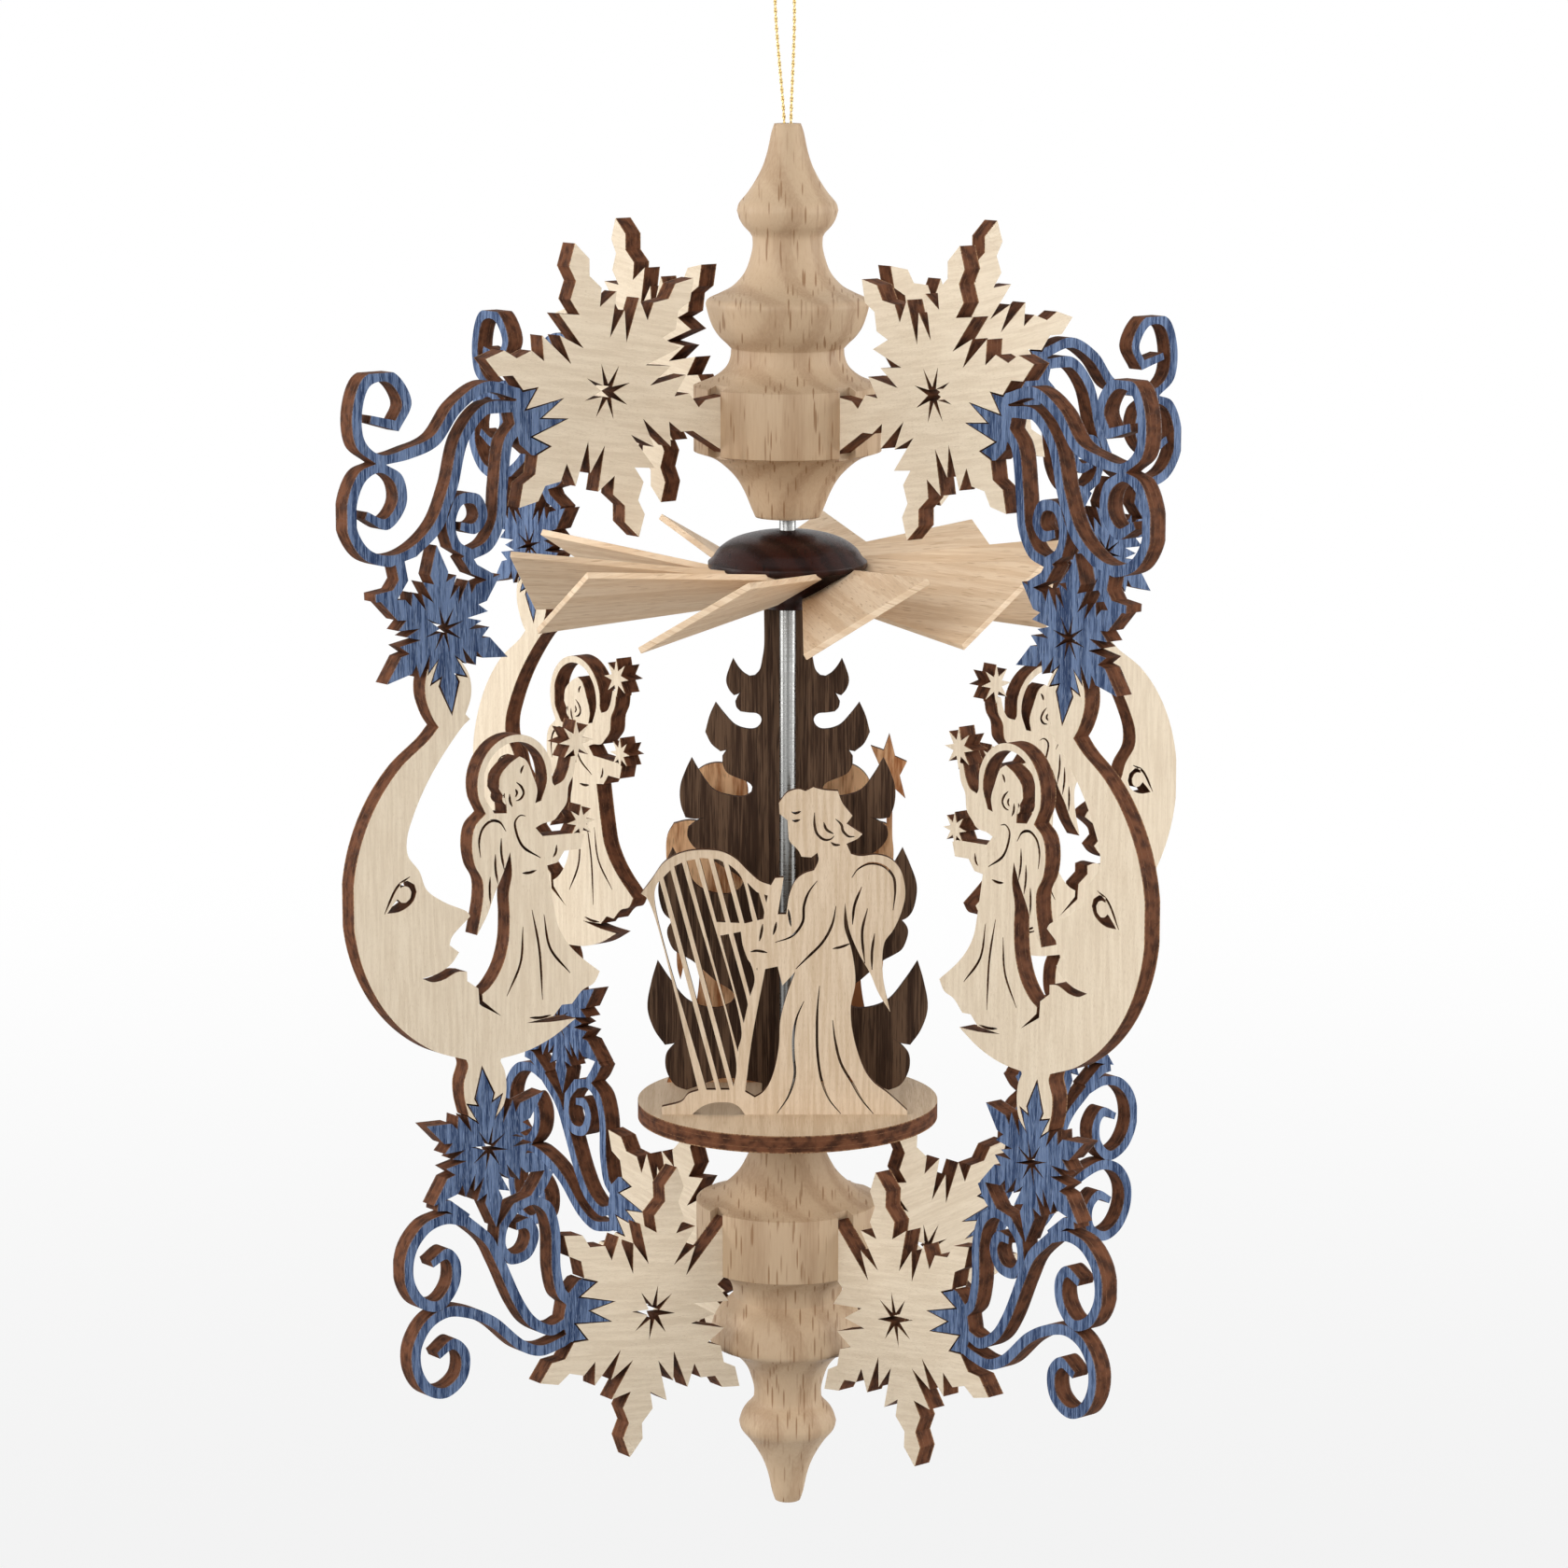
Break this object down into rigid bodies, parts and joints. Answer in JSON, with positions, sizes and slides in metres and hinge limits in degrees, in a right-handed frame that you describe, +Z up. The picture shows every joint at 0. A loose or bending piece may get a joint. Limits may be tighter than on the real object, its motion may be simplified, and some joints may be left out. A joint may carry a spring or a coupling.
{
  "type": "hanging heat spinner",
  "caption": "Hanging wooden heat spinner: turned finials, flat fretwork arms of snowflakes, scrolls and moon angels around a free-turning bladed wheel with tree and figures.",
  "frame": {"origin": "inside top of the thread loop, where it hangs on its hook, on the axis of the finials", "axes": "+Z up along the finials and the shaft; -Y is the side that the harp angel faces; the arms stand at 39.2 degrees from +X and every quarter turn from there"},
  "size_m": [0.1272, 0.1272, 0.2389],
  "materials": {
    "beech": "clear satin turned beech",
    "plywood": "bare laser-cut birch plywood with burnt edges",
    "blue_plywood": "blue stained laser-cut plywood with burnt edges",
    "disc_plywood": "bare birch plywood with a dark cut rim",
    "blade_veneer": "bare light veneer",
    "walnut": "dark walnut veneer, matt",
    "dark_wood": "dark stained turned wood, satin",
    "figure_veneer": "bare light veneer with burnt cut lines",
    "steel": "polished round steel rod",
    "brass": "turned brass",
    "gold_thread": "metallic gold thread"
  },
  "bodies": {
    "frame": {"upper_finial": "beech", "lower_finial": "beech", "pivot_cup": "brass", "hanging_loop": "gold_thread", "upper_snowflake_1": "plywood", "upper_scroll_1": "blue_plywood", "moon_angel_1": "plywood", "lower_scroll_1": "blue_plywood", "lower_snowflake_1": "plywood", "upper_snowflake_2": "plywood", "upper_scroll_2": "blue_plywood", "moon_angel_2": "plywood", "lower_scroll_2": "blue_plywood", "lower_snowflake_2": "plywood", "upper_snowflake_3": "plywood", "upper_scroll_3": "blue_plywood", "moon_angel_3": "plywood", "lower_scroll_3": "blue_plywood", "lower_snowflake_3": "plywood", "upper_snowflake_4": "plywood", "upper_scroll_4": "blue_plywood", "moon_angel_4": "plywood", "lower_scroll_4": "blue_plywood", "lower_snowflake_4": "plywood"},
    "spinner": {"shaft": "steel", "hub": "dark_wood", "disc": "disc_plywood", "tree": "walnut", "harp_angel": "figure_veneer", "back_figures": "figure_veneer", "blade_01": "blade_veneer", "blade_02": "blade_veneer", "blade_03": "blade_veneer", "blade_04": "blade_veneer", "blade_05": "blade_veneer", "blade_06": "blade_veneer", "blade_07": "blade_veneer", "blade_08": "blade_veneer", "blade_09": "blade_veneer", "blade_10": "blade_veneer"}
  },
  "joints": [
    {"name": "spinner_turn", "type": "hinge", "parent": "frame", "child": "spinner", "pos_m": [0, 0, -0.1], "axis": [0, 0, 1], "continuous": true}
  ]
}
